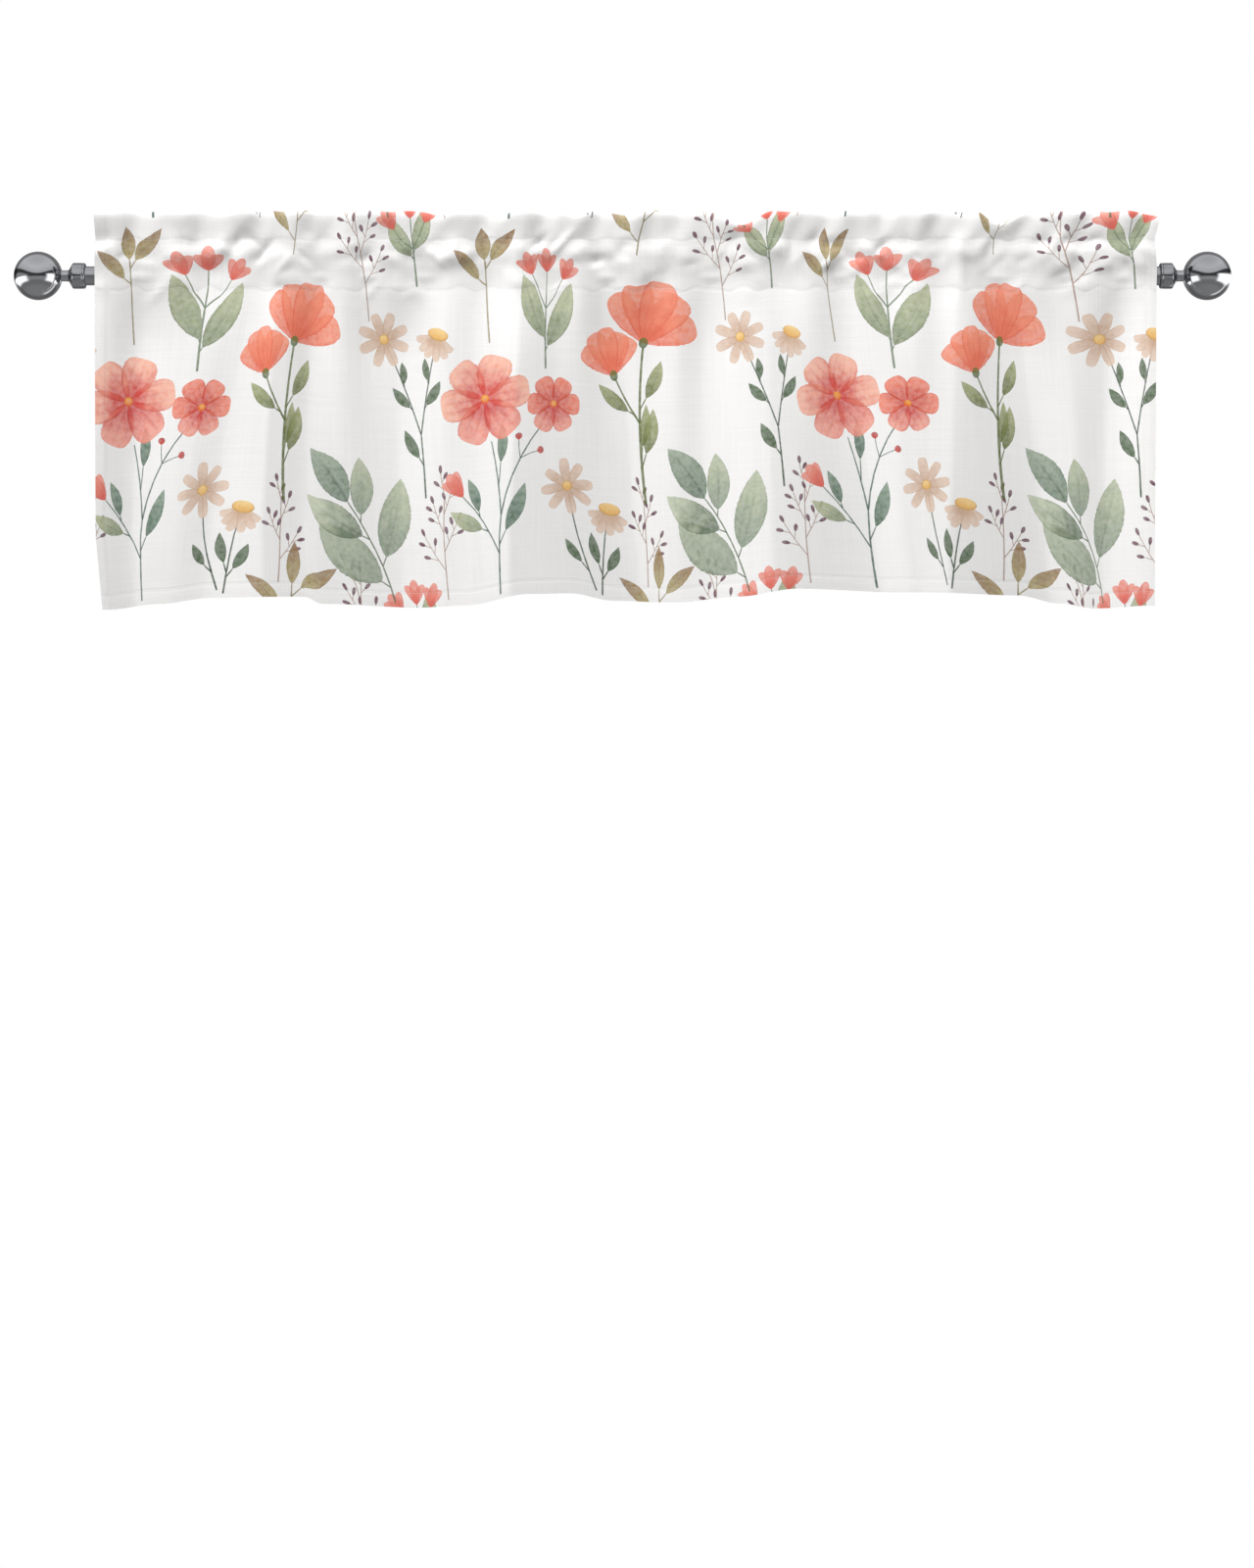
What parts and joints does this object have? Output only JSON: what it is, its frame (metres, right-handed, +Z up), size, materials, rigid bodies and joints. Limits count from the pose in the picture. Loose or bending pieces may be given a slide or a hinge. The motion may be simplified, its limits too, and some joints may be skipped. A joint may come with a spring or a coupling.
{
  "type": "window valance on a curtain rod",
  "caption": "Short gathered window valance of flower-printed cloth, with a rod pocket and a standing heading, hanging on a round metal rod with ball finials.",
  "frame": {"origin": "on the rod's axis at the middle of its length, where the wall brackets hold the rod up", "axes": "+X along the rod towards the right as seen from the room, +Y towards the window and wall, +Z up"},
  "size_m": [1.408, 0.056, 0.4588],
  "materials": {
    "printed_cloth": "matt plain weave with a flower print",
    "rod_metal": "polished dark plating",
    "cap_metal": "polished dark plating",
    "finial_metal": "polished dark plating"
  },
  "bodies": {
    "root": {"valance": "printed_cloth", "rod": "rod_metal", "end_cap_left": "cap_metal", "end_cap_right": "cap_metal", "finial_left": "finial_metal", "finial_right": "finial_metal"}
  },
  "joints": []
}
